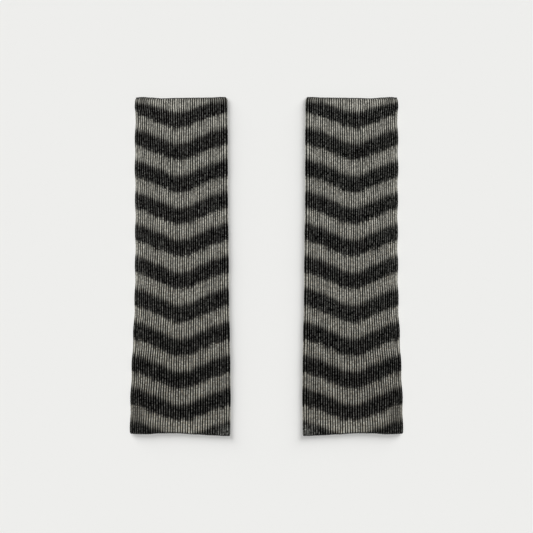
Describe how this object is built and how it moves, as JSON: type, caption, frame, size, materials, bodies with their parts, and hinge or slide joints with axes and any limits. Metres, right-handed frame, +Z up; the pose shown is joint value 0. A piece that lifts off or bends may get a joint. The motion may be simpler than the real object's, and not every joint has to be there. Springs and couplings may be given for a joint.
{
  "type": "pair of leg warmers",
  "caption": "Rib-knit tubes that keep the lower legs warm, open at both ends, lying flat side by side, with soft chevron stripes.",
  "frame": {"origin": "on the surface that the pair lies on, under the middle of the pair's box", "axes": "+Z up; +Y along the leg warmers towards their upper mouths; +X from the left one to the right one"},
  "size_m": [0.3412, 0.4238, 0.0064],
  "materials": {
    "rib_knit_wool": "matt 1 by 1 rib knit in charcoal and warm grey wool, in soft chevron stripes",
    "bound_off_wool": "matt charcoal wool, one row of bound-off loops"
  },
  "bodies": {
    "root": {"left_tube": "rib_knit_wool", "right_tube": "rib_knit_wool", "left_top_edge": "bound_off_wool", "right_top_edge": "bound_off_wool", "left_bottom_edge": "bound_off_wool", "right_bottom_edge": "bound_off_wool"}
  },
  "joints": []
}
